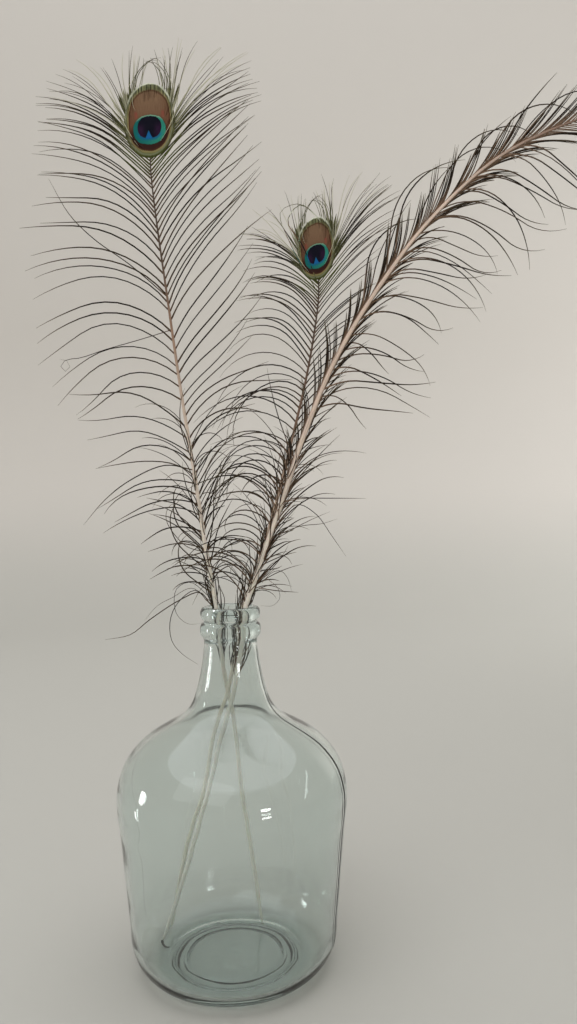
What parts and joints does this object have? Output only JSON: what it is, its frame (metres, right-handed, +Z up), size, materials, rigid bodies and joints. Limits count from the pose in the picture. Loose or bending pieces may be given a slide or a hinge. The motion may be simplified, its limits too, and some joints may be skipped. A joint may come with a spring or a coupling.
{
  "type": "peacock feathers in a glass vase",
  "caption": "Peacock train feathers with eyes, standing loose in a clear pale aqua glass demijohn with a beaded rim and a flat base.",
  "frame": {"origin": "centre of the demijohn's flat base, on the surface that it stands on", "axes": "+Z up the demijohn's axis, +X to the right of the front view, towards the long arching feather, +Y away from the front"},
  "size_m": [0.7761, 0.25, 0.9974],
  "materials": {
    "glass": "gloss",
    "feather": "satin"
  },
  "bodies": {
    "root": {"vase_foot": "glass", "vase_heel": "glass", "vase_side": "glass", "vase_neck": "glass", "left_feather": "feather", "middle_feather": "feather", "right_feather": "feather"}
  },
  "joints": []
}
